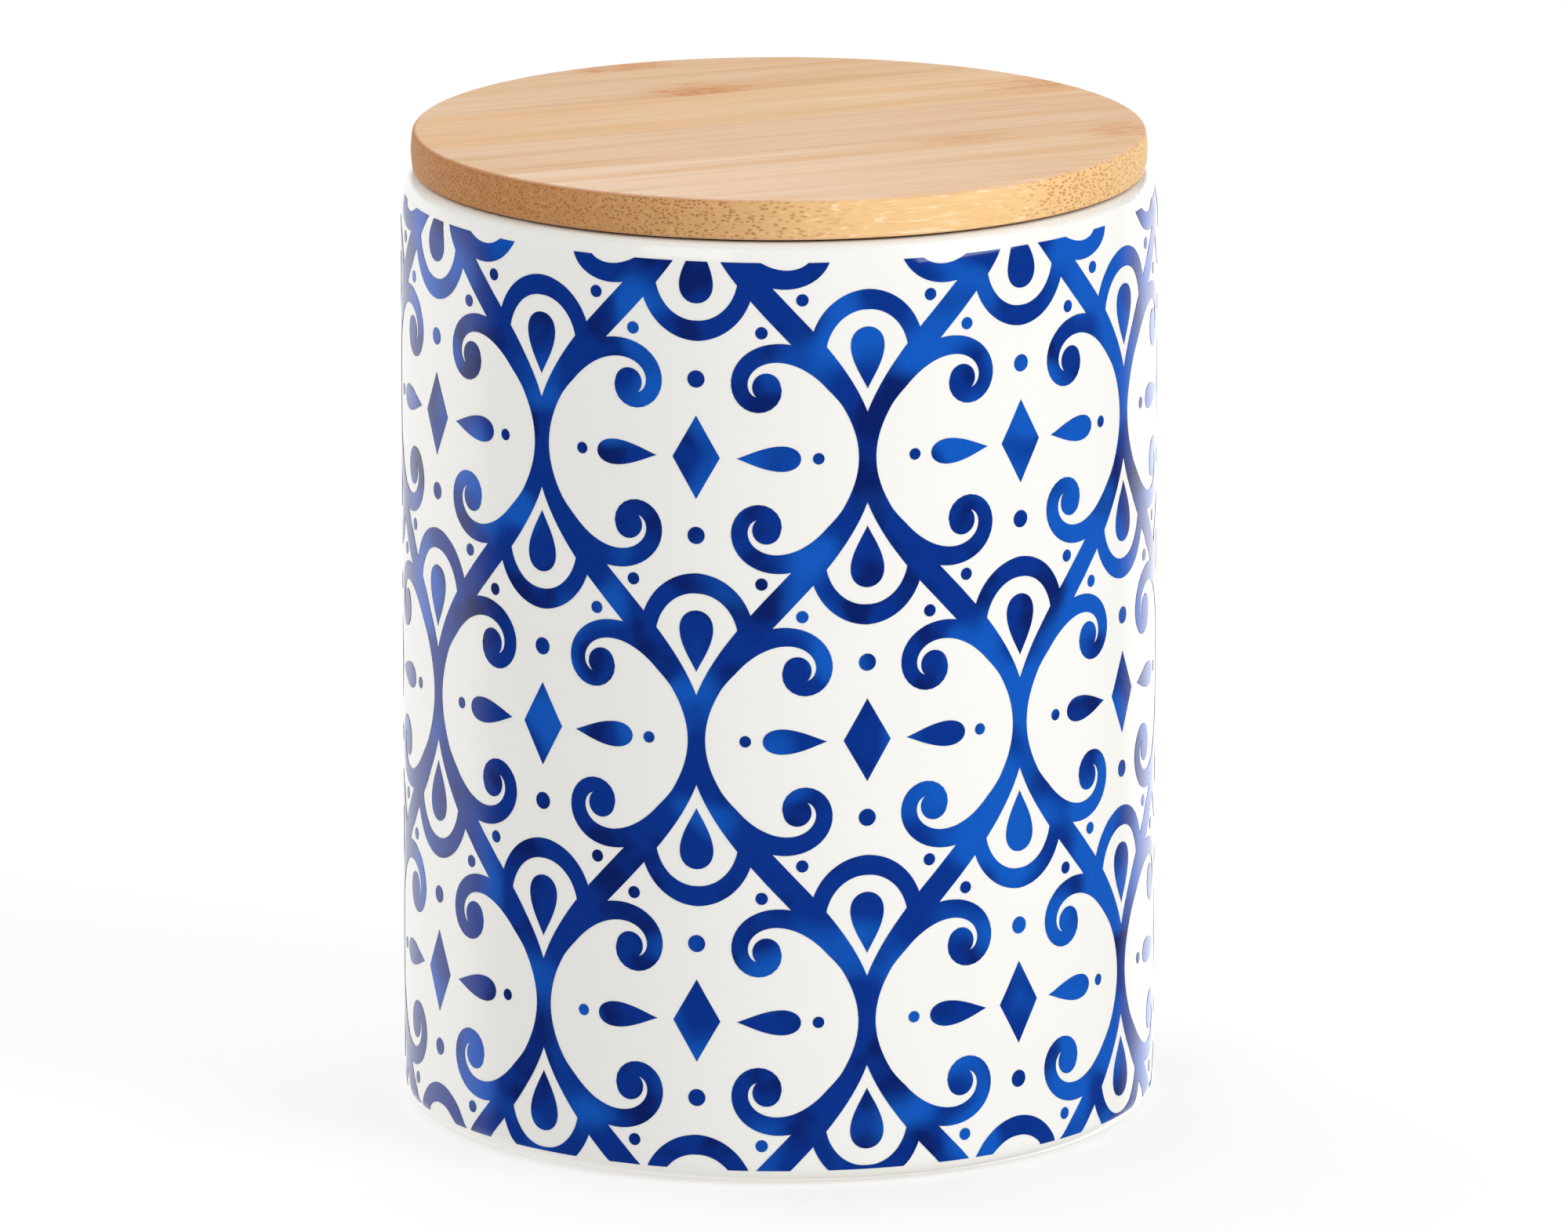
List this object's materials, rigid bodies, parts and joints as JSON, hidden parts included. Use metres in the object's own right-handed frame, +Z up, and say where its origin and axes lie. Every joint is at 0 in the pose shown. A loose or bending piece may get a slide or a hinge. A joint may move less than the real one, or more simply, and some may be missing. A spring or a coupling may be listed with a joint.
{
  "type": "storage canister",
  "caption": "Straight round glazed ceramic jar with a printed scroll pattern and a flat plug-in wooden lid with a lipped seal.",
  "frame": {"origin": "centre of the foot, on the surface that the jar stands on", "axes": "+Z up along the jar's axis, -Y to the front, +X to the right seen from the front"},
  "size_m": [0.1052, 0.1052, 0.138],
  "materials": {
    "glaze": "glossy off-white glaze",
    "print_enamel": "glossy cobalt blue",
    "silicone": "translucent white, satin",
    "bamboo": "sanded and oiled"
  },
  "bodies": {
    "jar": {"jar_body": "glaze", "transfer_print": "print_enamel"},
    "seal": {"seal_ring": "silicone"},
    "lid": {"lid_strip_1": "bamboo", "lid_strip_2": "bamboo", "lid_strip_3": "bamboo", "lid_strip_4": "bamboo", "lid_strip_5": "bamboo", "lid_strip_6": "bamboo", "plug_strip_1": "bamboo", "plug_strip_2": "bamboo", "plug_strip_3": "bamboo", "plug_strip_4": "bamboo", "plug_strip_5": "bamboo"}
  },
  "joints": [
    {"name": "lid_lift", "type": "slide", "parent": "jar", "child": "seal", "axis": [0, 0, 1], "range_m": [0, 0.05]},
    {"name": "lid_turn", "type": "hinge", "parent": "seal", "child": "lid", "pos_m": [0, 0, 0.128], "axis": [0, 0, 1], "continuous": true}
  ]
}
